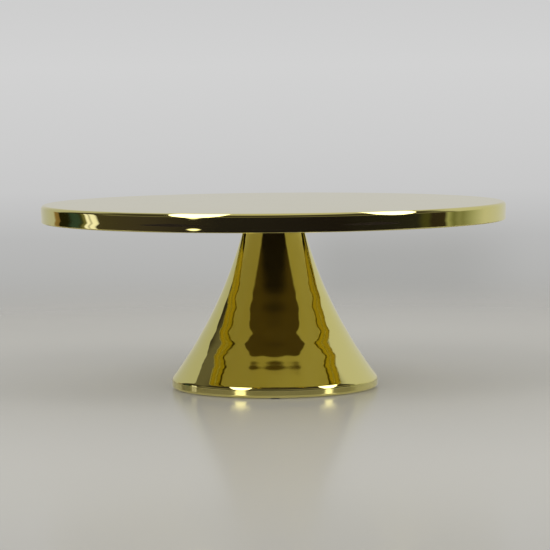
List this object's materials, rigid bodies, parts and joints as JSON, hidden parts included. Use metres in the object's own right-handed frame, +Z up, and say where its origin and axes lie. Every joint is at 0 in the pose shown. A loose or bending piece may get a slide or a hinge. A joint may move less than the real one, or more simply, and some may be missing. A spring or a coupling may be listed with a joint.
{
  "type": "cake stand",
  "caption": "Round cake stand in mirror-bright gold-plated sheet steel: a flat plate with a turned-down rim screws onto a hollow trumpet-shaped pedestal.",
  "frame": {"origin": "middle of the footprint, on the surface that the foot pads stand on", "axes": "+Z up along the stand's axis; +X and +Y point through two neighbouring foot pads, and the round shape has no other front"},
  "size_m": [0.305, 0.305, 0.122],
  "materials": {
    "gold_plating": "polished",
    "zinc_steel": "satin",
    "gasket_rubber": "matte",
    "pad_rubber": "matte"
  },
  "bodies": {
    "pedestal": {"pedestal_cone": "gold_plating", "crown_washer": "zinc_steel", "weld_nut": "zinc_steel", "foot_pad_1": "pad_rubber", "foot_pad_2": "pad_rubber", "foot_pad_3": "pad_rubber", "foot_pad_4": "pad_rubber"},
    "gasket": {"seat_gasket": "gasket_rubber"},
    "plate": {"top_plate": "gold_plating", "plate_doubler": "gold_plating", "centre_stud": "zinc_steel"}
  },
  "joints": [
    {"name": "plate_rise", "type": "slide", "parent": "pedestal", "child": "gasket", "axis": [0, 0, 1], "range_m": [0, 0.0101]},
    {"name": "plate_turn", "type": "hinge", "parent": "gasket", "child": "plate", "pos_m": [0, 0, 0.1188], "axis": [0, 0, 1], "range_deg": [0, 2880]}
  ],
  "couplings": [
    {"joint": "plate_rise", "follows": "plate_turn", "m_per_rad": 0.00019894}
  ]
}
